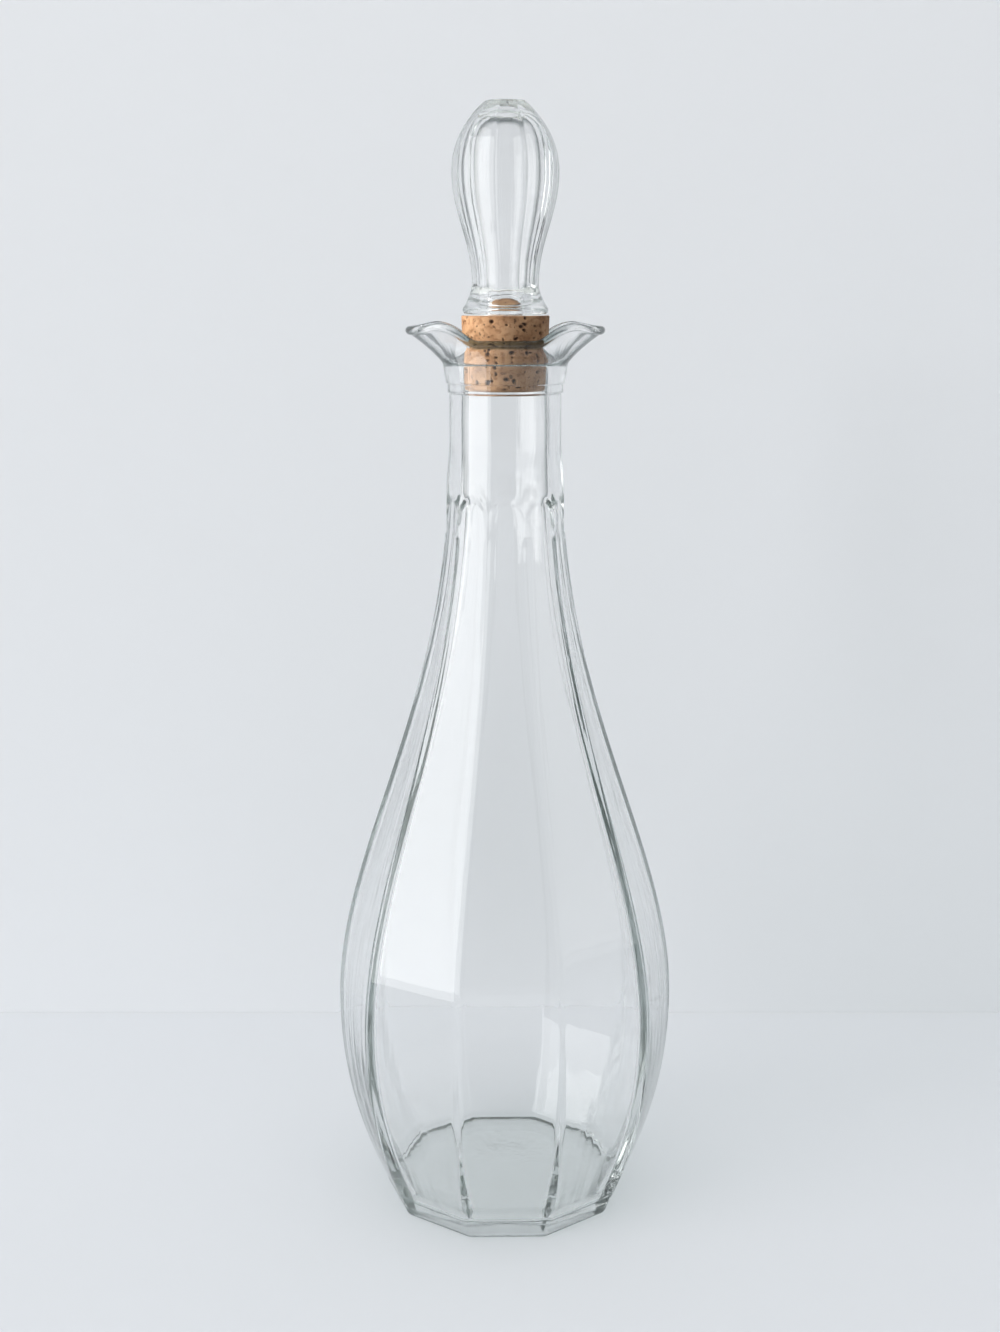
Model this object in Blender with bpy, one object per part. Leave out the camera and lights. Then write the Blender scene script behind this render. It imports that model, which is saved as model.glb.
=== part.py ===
"""Glass decanter: a ten-sided pear-shaped bottle with a two-winged pouring lip, closed by a hollow faceted
glass finial on a tapered cork. Metres, +Z up, origin under the middle of the foot. A facet faces -Y, and the
pouring wings reach out along +X and -X."""

import math

import bmesh
import bpy
from mathutils import Vector

# Body outside. Radii are taken at the ridges between facets.
FACETS = 10
FOOT_RADIUS = 0.0375
FOOT_EDGE_ROUND = 0.0020
BELLY_RADIUS = 0.0530
BELLY_HEIGHT = 0.0654
FLANK_POWER = 2.14  # how fully the side swells between foot and belly
THROAT_HEIGHT = 0.2353  # where the shoulder's curve has become the neck
THROAT_RADIUS = 0.0173
SHOULDER_REACH = 0.0491  # handle of the shoulder's curve at the belly
THROAT_REACH = 0.0743  # handle of the shoulder's curve at the throat
RIDGE_ROUND = 0.0040  # rounding of the ridges at the belly

# Where the facets run out into the round neck, each under its own arch.
FLUTE_DROP = 0.0130  # foot of the arches, below the throat
FLUTE_ARCH = 0.0052  # height of an arch
FLUTE_LEDGE = 0.0008  # height over which a facet's end rises to the neck's round
SWELL_RADIUS = 0.0178
SWELL_BLEND = 0.0150

# Neck, collar and lip
NECK_RADIUS = 0.01675
NECK_LENGTH = 0.0217  # throat to collar
BAND_HEIGHT = 0.0028
BAND_STEP = 0.0005
COLLAR_STEP = 0.0005
COLLAR_HEIGHT = 0.0058
COLLAR_RADIUS = 0.0186
COLLAR_BOW = 0.0019  # how much higher the collar's crest is between the wings
LIP_RADIUS = 0.0162  # middle of the rim between the wings
LIP_RISE = 0.0057
WING_REACH = 0.0285  # middle of the rim at a wing's tip
WING_RISE = 0.0108
WING_TAPER = 4  # a higher power makes the wings narrower
RIM_ROUND = 0.00115
RIM_GRIP = math.radians(46)  # how far round, under its widest, the rim's bead joins the thinner wall
LIP_LEAN = math.radians(10)
WING_LEAN = math.radians(56)
OUTER_BEND = (0.35, 0.49)  # handle of the flare outside, as shares of the way out and up
INNER_BEND = (0.42, 0.56)
LEDGE_RADIUS = 0.0158  # outer edge of the level ledge round the cork's seat

# Inside of the bottle
WALL = 0.0050  # at the belly
HEEL_WALL = 0.0092  # at the foot, where the glass gathers
FLOOR_THICKNESS = 0.0053
FLOOR_RADIUS = 0.0276
FLOOR_ROUND = 0.0026
FLOOR_CROWN = 0.0008
INNER_RIDGE_ROUND = 0.0040
BORE_RADIUS = 0.0131
SEAT_RADIUS = 0.0128
SEAT_LENGTH = 0.0085

# Underside
BEARING_WIDTH = 0.0070
PUSH_UP = 0.0018

# Cork
CLEARANCE = 0.0003
CORK_LOW_RADIUS = 0.0119
CORK_TOP_RADIUS = 0.01305
CORK_BELOW_SEAT = 0.0080
CORK_ABOVE_SEAT = 0.0139
CORK_EDGE_ROUND = 0.0012
SPIGOT_RADIUS = 0.0050
SPIGOT_HEIGHT = 0.0012

# Finial
FINIAL_TURN = math.radians(5)  # its facets stand a little round from the bottle's
FINIAL_HEIGHT = 0.0602
TABLE_RADIUS = 0.0063
BULB_RADIUS = 0.0158
BULB_DROP = 0.0198  # the fullest height, below the table
CROWN_POWER = 2.15
WAIST_RADIUS = 0.0099
WAIST_HEIGHT = 0.0092
FLANGE_RADIUS = 0.0127
FLANGE_HEIGHT = 0.0026
FLANGE_ROUND = 0.0013
FINIAL_WALL = 0.0055
FINIAL_CAP = 0.0046
DOME_POWER = 3  # a higher power makes the top of the hollow squarer
WAIST_WALL = 0.0037
FINIAL_RIDGE_ROUND = 0.0016

# Smoothness
FACET_COLUMNS = 6
FINIAL_COLUMNS = 4
CORK_SIDES = 48
HALVINGS = 40  # when a height is looked up on the shoulder's curve
NEARLY_ROUND = 0.999  # the most a ridge is rounded, as a share of its radius

HALF_FACET = math.pi / FACETS
FLUTE_START = THROAT_HEIGHT - FLUTE_DROP
BAND_BASE = THROAT_HEIGHT + NECK_LENGTH
COLLAR_BASE = BAND_BASE + BAND_HEIGHT
SEAT_HEIGHT = COLLAR_BASE + COLLAR_HEIGHT


def remove_everything():
    for thing in list(bpy.data.objects):
        bpy.data.objects.remove(thing, do_unlink=True)


def blend(a, b, share):
    return a + (b - a) * share


def ease(share):
    """0 to 1 with level ends, and clamped outside them."""
    share = min(max(share, 0.0), 1.0)
    return share * share * (3 - 2 * share)


def steps(start, stop, count):
    """Values from start to stop, both ends included."""
    return [blend(start, stop, i / count) for i in range(count + 1)]


def cubic(a, b, c, d, t):
    u = 1 - t
    return u**3 * a + 3 * u * u * t * b + 3 * u * t * t * c + t**3 * d


def quadratic(a, b, c, t):
    u = 1 - t
    return u * u * a + 2 * u * t * b + t * t * c


def body_radius(z, foot, belly, throat):
    """Ridge radius of the pear: a power curve from foot to belly, then one long curve into the throat."""
    if z <= BELLY_HEIGHT:
        return belly - (belly - foot) * (1 - z / BELLY_HEIGHT) ** FLANK_POWER
    heights = (BELLY_HEIGHT, BELLY_HEIGHT + SHOULDER_REACH, THROAT_HEIGHT - THROAT_REACH, THROAT_HEIGHT)
    low, high = 0.0, 1.0
    for _ in range(HALVINGS):
        t = (low + high) / 2
        low, high = (t, high) if cubic(*heights, t) < z else (low, t)
    return cubic(belly, belly, throat, throat, low)


def flat_distance(ridge_radius, rounding):
    """Distance from the axis to a facet whose rounded ridges stand at ridge_radius."""
    return ridge_radius * math.cos(HALF_FACET) + rounding * (1 - math.cos(HALF_FACET))


def facet_edge(flat, rounding):
    """Angle from a facet's middle to where its flat meets the rounded ridge."""
    return math.atan((flat - rounding) * math.tan(HALF_FACET) / flat)


def section_radius(angle, flat, rounding):
    """Radius of a rounded regular polygon, at an angle from the middle of a facet."""
    if abs(angle) <= facet_edge(flat, rounding):
        return flat / math.cos(angle)
    centre = (flat - rounding) / math.cos(HALF_FACET)
    off = HALF_FACET - abs(angle)
    return centre * math.cos(off) + math.sqrt(rounding**2 - (centre * math.sin(off)) ** 2)


def column_angles(flat, rounding, columns):
    """Angles of one facet's columns, the first on the ridge and two where the ridge's rounding ends."""
    edge = min(max(facet_edge(flat, rounding), HALF_FACET * (1 - 2 / columns)), HALF_FACET * 0.95)
    return [-HALF_FACET] + steps(-edge, edge, columns - 2)


def repeated_ring(angles, point_at):
    """A ring of alike facets. point_at gives a radius and a height for an angle from a facet's middle."""
    ring = []
    for facet in range(FACETS):
        middle = -math.pi / 2 + 2 * HALF_FACET * facet
        for angle in angles:
            radius, z = point_at(angle)
            ring.append(Vector((radius * math.cos(middle + angle), radius * math.sin(middle + angle), z)))
    return ring


def facet_ring(z, flat, rounding, columns=FACET_COLUMNS):
    """One level ring of a rounded polygon."""
    angles = column_angles(flat, rounding, columns)
    return repeated_ring(angles, lambda angle: (section_radius(angle, flat, rounding), z))


def pear_ring(z, ridge_radius, rounding):
    return facet_ring(z, flat_distance(ridge_radius, rounding), rounding)


def side_section(z):
    """Flat distance and ridge rounding of the body's outside at a height."""
    ridge = body_radius(z, FOOT_RADIUS, BELLY_RADIUS, THROAT_RADIUS)
    rounding = RIDGE_ROUND * ridge / BELLY_RADIUS
    return flat_distance(ridge, rounding), rounding


def round_ring(z, radius, columns=FACET_COLUMNS):
    return facet_ring(z, radius, radius, columns)


def shaped_ring(point_at):
    """A ring in space. point_at gives its radius and height, from 0 between the wings to 1 at their tips."""
    ring = []
    for place in round_ring(0, 1.0):
        angle = math.atan2(place.y, place.x)
        radius, z = point_at(abs(math.cos(angle)))
        ring.append(Vector((radius * math.cos(angle), radius * math.sin(angle), z)))
    return ring


def material(name, colour, roughness, transmission=0.0, ior=1.5):
    made = bpy.data.materials.new(name)
    made.use_nodes = True
    shader = made.node_tree.nodes["Principled BSDF"]
    shader.inputs["Base Color"].default_value = (*colour, 1.0)
    shader.inputs["Roughness"].default_value = roughness
    shader.inputs["Metallic"].default_value = 0.0
    shader.inputs["Transmission Weight"].default_value = transmission
    shader.inputs["IOR"].default_value = ior
    made.diffuse_color = (*colour, 1.0)
    return made


def loft(name, rings, look, sharp_angle):
    """A closed body lofted through rings of one count, with a level face over each end."""
    bm = bmesh.new()
    loops = [[bm.verts.new(point) for point in ring] for ring in rings]
    for first, second in zip(loops, loops[1:]):
        corners = zip(first, first[1:] + first[:1], second[1:] + second[:1], second)
        for corner in corners:
            bm.faces.new(corner)
    bm.faces.new(loops[0])
    bm.faces.new(loops[-1])
    bmesh.ops.recalc_face_normals(bm, faces=bm.faces)
    mesh = bpy.data.meshes.new(name)
    bm.to_mesh(mesh)
    bm.free()
    mesh.shade_smooth()
    mesh.set_sharp_from_angle(angle=sharp_angle)
    mesh.materials.append(look)
    made = bpy.data.objects.new(name, mesh)
    bpy.context.scene.collection.objects.link(made)
    return made


def underside_rings():
    """From the middle of the shallow push-up out to the level bearing ring."""
    outer = flat_distance(body_radius(FOOT_EDGE_ROUND, FOOT_RADIUS, BELLY_RADIUS, THROAT_RADIUS), RIDGE_ROUND)
    inner = outer - FOOT_EDGE_ROUND - BEARING_WIDTH
    rings = []
    for share in (0.08, 0.45, 0.75, 0.92):
        rings.append(round_ring(PUSH_UP * (1 - share**4), inner * share))
    rings.append(round_ring(0.0, inner))
    return rings


def foot_rings():
    """The rounded edge between the bearing ring and the side."""
    ridge = body_radius(FOOT_EDGE_ROUND, FOOT_RADIUS, BELLY_RADIUS, THROAT_RADIUS)
    rings = []
    for turn in steps(0.0, math.pi / 2, 3)[:-1]:
        inset = FOOT_EDGE_ROUND * (1 - math.sin(turn))
        rings.append(pear_ring(FOOT_EDGE_ROUND * (1 - math.cos(turn)), ridge - inset, RIDGE_ROUND))
    return rings


def side_rings():
    """The curved facets, from the foot to just below the arches."""
    heights = steps(FOOT_EDGE_ROUND, BELLY_HEIGHT, 6)[:-1] + steps(BELLY_HEIGHT, FLUTE_START - FLUTE_ARCH, 13)
    return [facet_ring(z, *side_section(z)) for z in heights]


def arch_height(angle):
    """Height where a facet ends: lowest at the ridges, highest at its middle."""
    return FLUTE_START + FLUTE_ARCH * (1 - (angle / HALF_FACET) ** 2)


def arch_rings():
    """The ends of the facets, each under its own arch, and the ledge that rises to the neck's round."""
    def on_facet(angle):
        z = arch_height(angle)
        return min(section_radius(angle, *side_section(z)), SWELL_RADIUS), z

    def on_neck(angle):
        return SWELL_RADIUS, arch_height(angle) + FLUTE_LEDGE

    angles = column_angles(*side_section(FLUTE_START), FACET_COLUMNS)
    return [repeated_ring(angles, on_facet), repeated_ring(angles, on_neck)]


def neck_rings():
    """The swelling above the arches, the plain neck, and the band and cone of the collar."""
    start = FLUTE_START + FLUTE_ARCH + 2 * FLUTE_LEDGE
    rings = []
    for share in steps(0.0, 1.0, 4):
        radius = blend(SWELL_RADIUS, NECK_RADIUS, ease(share))
        rings.append(round_ring(start + SWELL_BLEND * share, radius))
    rings.append(round_ring(BAND_BASE, NECK_RADIUS))
    band = NECK_RADIUS + BAND_STEP
    rings.append(round_ring(BAND_BASE + BAND_STEP, band))
    rings.append(round_ring(COLLAR_BASE, band))
    rings.append(round_ring(COLLAR_BASE + COLLAR_STEP / 2, band + COLLAR_STEP))
    return rings


def crest_height(wing):
    return SEAT_HEIGHT + COLLAR_BOW * (1 - wing**2)


def rim_middle(wing):
    """Radius and height of the middle of the rim's rounding, and how far the wall leans out there."""
    narrow = wing**WING_TAPER
    lifted = ease((wing - 0.50) / 0.47)
    radius = blend(LIP_RADIUS, WING_REACH, narrow)
    return radius, SEAT_HEIGHT + blend(LIP_RISE, WING_RISE, lifted), blend(LIP_LEAN, WING_LEAN, narrow)


def rim_point(wing, turn):
    """A point of the rim's rounding: turn 0 is its outer side, half a turn later its inner side."""
    radius, z, lean = rim_middle(wing)
    out, up = math.cos(turn), math.sin(turn)
    return (
        radius + RIM_ROUND * (out * math.cos(lean) + up * math.sin(lean)),
        z + RIM_ROUND * (up * math.cos(lean) - out * math.sin(lean)),
    )


def flare_point(start, bend, end, share):
    """A point on a wall that flares from start to end. bend is the curve's handle, as shares of the way."""
    handle = [blend(start[i], end[i], bend[i]) for i in (0, 1)]
    return [quadratic(start[i], handle[i], end[i], share) for i in (0, 1)]


def outer_flare(share):
    def point_at(wing):
        return flare_point((COLLAR_RADIUS, crest_height(wing)), OUTER_BEND, rim_point(wing, -RIM_GRIP), share)
    return shaped_ring(point_at)


def inner_flare(share):
    def point_at(wing):
        inner_side = rim_point(wing, math.pi + RIM_GRIP)
        return flare_point((LEDGE_RADIUS, SEAT_HEIGHT), INNER_BEND, inner_side, share)
    return shaped_ring(point_at)


def lip_rings():
    """Outside of the flaring lip, the bead along its rim, and the inside down to the ledge round the seat."""
    rings = [outer_flare(share) for share in (0.0, 0.33, 0.66)]
    for turn in steps(-RIM_GRIP, math.pi + RIM_GRIP, 6):
        rings.append(shaped_ring(lambda wing, turn=turn: rim_point(wing, turn)))
    rings += [inner_flare(share) for share in (0.66, 0.33, 0.0)]
    return rings


def inside_rings():
    """The cork's seat, the bore, the pear-shaped hollow and its floor."""
    rings = [round_ring(SEAT_HEIGHT, SEAT_RADIUS), round_ring(SEAT_HEIGHT - SEAT_LENGTH, SEAT_RADIUS)]
    rings.append(round_ring(SEAT_HEIGHT - 2 * SEAT_LENGTH, BORE_RADIUS))
    foot, belly = FOOT_RADIUS - HEEL_WALL, BELLY_RADIUS - WALL
    lowest = FLOOR_THICKNESS + FLOOR_ROUND
    heights = steps(THROAT_HEIGHT, BELLY_HEIGHT, 12)[:-1] + steps(BELLY_HEIGHT, lowest, 5)
    for z in heights:
        ridge = body_radius(z, foot, belly, BORE_RADIUS)
        share = (ridge - BORE_RADIUS) / (belly - BORE_RADIUS)
        rounding = blend(BORE_RADIUS, INNER_RIDGE_ROUND, min(1, 3 * share))
        rings.append(pear_ring(z, ridge, min(rounding, ridge * NEARLY_ROUND)))
    corner = body_radius(lowest, foot, belly, BORE_RADIUS)
    for turn in steps(0.0, math.pi / 2, 3)[1:]:
        ridge = blend(FLOOR_RADIUS, corner, math.cos(turn))
        rings.append(pear_ring(lowest - FLOOR_ROUND * math.sin(turn), ridge, INNER_RIDGE_ROUND))
    for share in (0.6, 0.08):
        rings.append(round_ring(FLOOR_THICKNESS + FLOOR_CROWN * (1 - share**2), FLOOR_RADIUS * share))
    return rings


def bottle(look):
    outside = underside_rings() + foot_rings() + side_rings() + arch_rings() + neck_rings()
    return loft("decanter_bottle", outside + lip_rings() + inside_rings(), look, math.radians(24))


def turned(name, outline, sides, look):
    """A solid turned about Z from an outline of (radius, height) that starts and ends on the axis."""
    bm = bmesh.new()
    verts = [bm.verts.new((radius, 0.0, z)) for radius, z in outline]
    edges = [bm.edges.new(pair) for pair in zip(verts, verts[1:])]
    bmesh.ops.spin(bm, geom=verts + edges, axis=(0, 0, 1), cent=(0, 0, 0), angle=2 * math.pi, steps=sides)
    bmesh.ops.remove_doubles(bm, verts=bm.verts, dist=0.00001)
    bmesh.ops.recalc_face_normals(bm, faces=bm.faces)
    mesh = bpy.data.meshes.new(name)
    bm.to_mesh(mesh)
    bm.free()
    mesh.shade_smooth()
    mesh.set_sharp_from_angle(angle=math.radians(35))
    mesh.materials.append(look)
    made = bpy.data.objects.new(name, mesh)
    bpy.context.scene.collection.objects.link(made)
    return made


def corner_arc(radius, z, rounding, start, stop, count=3):
    """Points round an outline's corner of the given middle."""
    return [(radius + rounding * math.cos(a), z + rounding * math.sin(a)) for a in steps(start, stop, count)]


def cork(look):
    """The tapered cork, its height counted from the seat, with the spigot that fills the finial's mouth."""
    low, high = -CORK_BELOW_SEAT, CORK_ABOVE_SEAT
    edge = CORK_EDGE_ROUND
    outline = [(0.0, low)]
    outline += corner_arc(CORK_LOW_RADIUS - edge, low + edge, edge, -math.pi / 2, 0.0)
    outline.append((SEAT_RADIUS - CLEARANCE, 0.0))
    outline += corner_arc(CORK_TOP_RADIUS - edge / 3, high - edge / 3, edge / 3, 0.0, math.pi / 2, 2)
    outline += [(SPIGOT_RADIUS, high), (SPIGOT_RADIUS, high + SPIGOT_HEIGHT), (0.0, high + SPIGOT_HEIGHT)]
    return turned("stopper_cork", outline, CORK_SIDES, look)


def finial_radius(z):
    """Ridge radius of the finial: a full crown, then a long ogee down to the waist."""
    fullest = FINIAL_HEIGHT - BULB_DROP
    if z >= fullest:
        share = (z - fullest) / BULB_DROP
        return BULB_RADIUS - (BULB_RADIUS - TABLE_RADIUS) * share**CROWN_POWER
    share = min((fullest - z) / (fullest - WAIST_HEIGHT), 1.0)
    return blend(WAIST_RADIUS, BULB_RADIUS, (1 + math.cos(math.pi * share)) / 2)


def finial_ring(z, ridge, rounding):
    return facet_ring(z, flat_distance(ridge, rounding), rounding, FINIAL_COLUMNS)


def finial_outside():
    """From the flat table down over the crown, the bulb, the waist and round the flange."""
    fullest = FINIAL_HEIGHT - BULB_DROP
    rings = []
    for share in (1.0, 0.9, 0.75, 0.55, 0.3):
        z = blend(fullest, FINIAL_HEIGHT, share)
        rings.append(finial_ring(z, finial_radius(z), FINIAL_RIDGE_ROUND))
    for z in steps(fullest, WAIST_HEIGHT, 7):
        rings.append(finial_ring(z, finial_radius(z), FINIAL_RIDGE_ROUND))
    for share in (0.7, 0.35):
        z = blend(FLANGE_HEIGHT, WAIST_HEIGHT, share)
        radius = blend(FLANGE_RADIUS - FLANGE_ROUND / 2, WAIST_RADIUS, math.sin(share * math.pi / 2))
        rings.append(finial_ring(z, radius, blend(radius * NEARLY_ROUND, FINIAL_RIDGE_ROUND, share)))
    for turn in steps(math.pi / 4, -math.pi / 2, 3):
        radius = FLANGE_RADIUS - FLANGE_ROUND * (1 - math.cos(turn))
        rings.append(round_ring(FLANGE_ROUND * (1 + math.sin(turn)), radius, FINIAL_COLUMNS))
    return rings


def finial_inside():
    """The hollow, from the mouth that the spigot fills up to its round top."""
    mouth = SPIGOT_RADIUS + CLEARANCE
    fullest = FINIAL_HEIGHT - BULB_DROP
    top = FINIAL_HEIGHT - FINIAL_CAP
    narrow, widest = WAIST_RADIUS - WAIST_WALL, BULB_RADIUS - FINIAL_WALL
    rings = [round_ring(0.0, mouth, FINIAL_COLUMNS), round_ring(SPIGOT_HEIGHT, mouth, FINIAL_COLUMNS)]
    for z in steps(WAIST_HEIGHT, fullest, 6)[:-1]:
        share = (fullest - z) / (fullest - WAIST_HEIGHT)
        radius = blend(narrow, widest, (1 + math.cos(math.pi * share)) / 2)
        rings.append(round_ring(z, radius, FINIAL_COLUMNS))
    for share in (1.0, 0.96, 0.85, 0.65, 0.4, 0.12):
        z = fullest + (top - fullest) * (1 - share**DOME_POWER) ** (1 / DOME_POWER)
        rings.append(round_ring(z, widest * share, FINIAL_COLUMNS))
    return rings


def finial(look):
    """The hollow glass knob, skinned from its table down outside, in at the mouth and up inside."""
    return loft("stopper_finial", finial_outside() + finial_inside(), look, math.radians(24))


def stopper(finial_glass, natural_cork):
    """Finial and cork on one empty, which stands on the axis at the height of the cork's seat."""
    carrier = bpy.data.objects.new("stopper_axis", None)
    carrier.location = (0.0, 0.0, SEAT_HEIGHT)
    carrier.empty_display_size = COLLAR_RADIUS
    bpy.context.scene.collection.objects.link(carrier)
    plug = cork(natural_cork)
    plug.parent = carrier
    knob = finial(finial_glass)
    knob.parent = carrier
    knob.location = (0.0, 0.0, CORK_ABOVE_SEAT + CLEARANCE)
    knob.rotation_euler = (0.0, 0.0, FINIAL_TURN)


def main():
    remove_everything()
    glass = material("clear_glass", (0.90, 0.95, 0.93), 0.02, transmission=1.0, ior=1.52)
    finial_glass = material("finial_glass", (0.93, 0.95, 0.95), 0.02, transmission=1.0, ior=1.52)
    natural_cork = material("natural_cork", (0.62, 0.42, 0.25), 0.85)
    bottle(glass)
    stopper(finial_glass, natural_cork)


main()
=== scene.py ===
# %% [markdown]
# # A faceted glass decanter with a cork and glass stopper
# This notebook dresses a decanter whose solids are already built. The solids come in as a fixed frame. Each
# cell below makes one piece or one finish: the glass bottle, the glass finial, the cork, then the studio.

# %% Load the frame
import math
import random

import bmesh
import bpy
import numpy as np
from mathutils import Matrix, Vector


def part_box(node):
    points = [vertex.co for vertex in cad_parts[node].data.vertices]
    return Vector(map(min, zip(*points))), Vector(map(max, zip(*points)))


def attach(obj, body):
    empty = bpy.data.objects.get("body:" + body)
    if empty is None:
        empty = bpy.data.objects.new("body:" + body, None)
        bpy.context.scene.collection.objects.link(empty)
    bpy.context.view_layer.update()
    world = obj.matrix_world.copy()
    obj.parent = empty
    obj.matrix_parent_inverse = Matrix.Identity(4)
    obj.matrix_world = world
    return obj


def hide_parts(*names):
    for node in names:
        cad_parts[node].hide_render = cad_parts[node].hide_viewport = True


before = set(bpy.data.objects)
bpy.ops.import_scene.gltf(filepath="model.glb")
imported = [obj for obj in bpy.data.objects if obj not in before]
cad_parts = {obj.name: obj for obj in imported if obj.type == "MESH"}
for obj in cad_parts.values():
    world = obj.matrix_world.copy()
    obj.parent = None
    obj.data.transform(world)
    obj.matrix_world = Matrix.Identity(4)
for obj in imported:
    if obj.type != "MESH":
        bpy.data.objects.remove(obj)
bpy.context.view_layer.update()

# %% [markdown]
# ## Sizes
# The real bottle is shaped in a ten-sided mould. Its side is one smooth curve from the foot over the belly to the
# neck, and every level slice is a ten-sided figure with rounded corners. So a few radii and heights fix the
# whole side, and one rule gives the radius at any height. All lengths are metres.

# %% Sizes of the bottle
FACETS = 10
HALF_FACET = math.pi / FACETS
FOOT_RADIUS = 0.0375
BELLY_RADIUS = 0.0530
BELLY_HEIGHT = 0.0654
FLANK_POWER = 2.14
THROAT_RADIUS = 0.0173
THROAT_HEIGHT = 0.2353
SHOULDER_REACH = 0.0491
THROAT_REACH = 0.0743
RIDGE_ROUND = 0.0040
WALL = 0.0050
HEEL_WALL = 0.0092
HALVINGS = 40

bottle_low, bottle_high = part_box("decanter_bottle")
print("bottle's solid is", [round(1000 * (b - a), 1) for a, b in zip(bottle_low, bottle_high)], "mm")

# %% Rules of the side


def blend(a, b, share):
    """The value at a share of the way from a to b."""
    return a + (b - a) * share


def ease(share):
    """0 to 1 with level ends."""
    share = min(max(share, 0.0), 1.0)
    return share * share * (3 - 2 * share)


def steps(start, stop, count):
    """Values after start, up to stop."""
    return [blend(start, stop, (i + 1) / count) for i in range(count)]


def cubic(a, b, c, d, t):
    """A value on a curve from a to d that is drawn towards b and c."""
    u = 1 - t
    return u**3 * a + 3 * u * u * t * b + 3 * u * t * t * c + t**3 * d


def side_radius(z, foot=FOOT_RADIUS, belly=BELLY_RADIUS, throat=THROAT_RADIUS):
    """Radius at the ridges: a power curve up to the belly, then one long curve into the throat."""
    if z <= BELLY_HEIGHT:
        return belly - (belly - foot) * (1 - z / BELLY_HEIGHT) ** FLANK_POWER
    heights = (BELLY_HEIGHT, BELLY_HEIGHT + SHOULDER_REACH, THROAT_HEIGHT - THROAT_REACH, THROAT_HEIGHT)
    low, high = 0.0, 1.0
    for _ in range(HALVINGS):
        t = (low + high) / 2
        low, high = (t, high) if cubic(*heights, t) < z else (low, t)
    return cubic(belly, belly, throat, throat, low)


print("side radius at the foot, belly and throat:", side_radius(0), side_radius(BELLY_HEIGHT), side_radius(0.23))

# %% [markdown]
# ## Rings
# A glassmaker gathers a ring of glass and draws it out. The same move works on a mesh: one ring of edges is
# extruded, lifted and resized, again and again. A spin would be quicker for a round bottle, but it can't
# make facets, and a loft between two outlines can't follow the lip. So a small set of helpers does the drawing.

# %% Helpers that draw a ring out


def deselect_all():
    """Leave edit mode and select nothing."""
    if bpy.context.object and bpy.context.object.mode != "OBJECT":
        bpy.ops.object.mode_set(mode="OBJECT")
    bpy.ops.object.select_all(action="DESELECT")


def start_ring(name, radius, z, rounding, arc_steps, flat_steps):
    """A ten-sided ring with rounded corners, left in edit mode with all of it selected."""
    deselect_all()
    bpy.ops.mesh.primitive_circle_add(
        vertices=FACETS, radius=radius, location=(0, 0, z), rotation=(0, 0, HALF_FACET)
    )
    piece = bpy.context.object
    piece.name = piece.data.name = name
    bpy.ops.object.transform_apply(location=True, rotation=True, scale=True)
    bpy.ops.object.mode_set(mode="EDIT")
    bpy.ops.mesh.select_all(action="SELECT")
    bpy.ops.mesh.bevel(offset=rounding * math.tan(HALF_FACET), segments=arc_steps, affect="VERTICES")
    mesh = bmesh.from_edit_mesh(piece.data)
    longest = max(edge.calc_length() for edge in mesh.edges)
    for edge in mesh.edges:
        edge.select_set(edge.calc_length() > longest / 2)
    bmesh.update_edit_mesh(piece.data)
    bpy.ops.mesh.subdivide(number_cuts=flat_steps - 1)
    bpy.ops.mesh.select_all(action="SELECT")
    return piece


def ring_now():
    """The mesh in edit mode and its selected ring. The vertices stay valid only while the mesh is held."""
    mesh = bmesh.from_edit_mesh(bpy.context.object.data)
    return mesh, [vert for vert in mesh.verts if vert.select]


def draw_to(radius, z):
    """Extrude the ring to a new height and scale it until its ridges reach the new radius."""
    mesh, ring = ring_now()
    reach = max(vert.co.xy.length for vert in ring)
    bpy.ops.mesh.extrude_region_move(TRANSFORM_OT_translate={"value": (0, 0, z - ring[0].co.z)})
    share = radius / reach
    bpy.ops.transform.resize(value=(share, share, 1), center_override=(0, 0, z))


def shape_ring(rule):
    """Put each vertex of the ring where rule(angle) says: a radius and a height."""
    mesh, ring = ring_now()
    for vert in ring:
        angle = math.atan2(vert.co.y, vert.co.x)
        radius, z = rule(angle)
        vert.co = (radius * math.cos(angle), radius * math.sin(angle), z)
    bmesh.update_edit_mesh(bpy.context.object.data)


def draw_by(rule):
    """Extrude the ring and put its vertices where the rule says."""
    bpy.ops.mesh.extrude_region_move()
    shape_ring(rule)


def close_ring(z):
    """Extrude the ring once more and gather it in one point on the axis."""
    bpy.ops.mesh.extrude_region_move()
    bpy.ops.mesh.merge(type="CENTER")
    mesh, ring = ring_now()
    ring[0].co = (0, 0, z)
    bmesh.update_edit_mesh(bpy.context.object.data)


def select_open_edge():
    """Select the open edge of the mesh in edit mode."""
    bpy.ops.mesh.select_non_manifold(extend=False, use_wire=False, use_boundary=True, use_multi_face=False,
                                     use_non_contiguous=False, use_verts=False)


def finish_piece(piece):
    """Turn the faces outwards, shade the piece smooth and leave edit mode."""
    bpy.ops.mesh.select_all(action="SELECT")
    bpy.ops.mesh.normals_make_consistent(inside=False)
    bpy.ops.object.mode_set(mode="OBJECT")
    bpy.ops.object.shade_smooth()
    deselect_all()
    print(piece.name, len(piece.data.vertices), "vertices", len(piece.data.polygons), "faces")


print("ring helpers:", [item.__name__ for item in (start_ring, draw_to, draw_by, close_ring, finish_piece)])

# %% [markdown]
# ## The bottle's side
# Ten facets run from the foot to the neck. Each is flat across and curved along its height, and the ridges
# between them are rounded by the mould. The rounding shrinks with the radius, so scaling one rounded ring gives
# every slice.

# %% Draw the side from the foot
FOOT_EDGE = 0.0020
ARC_STEPS = 8
FLAT_STEPS = 10
FLUTE_DROP = 0.0155
FLUTE_ARCH = 0.0052
FLUTE_LEDGE = 0.0032
FLUTE_FOOT = THROAT_HEIGHT - FLUTE_DROP

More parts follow.
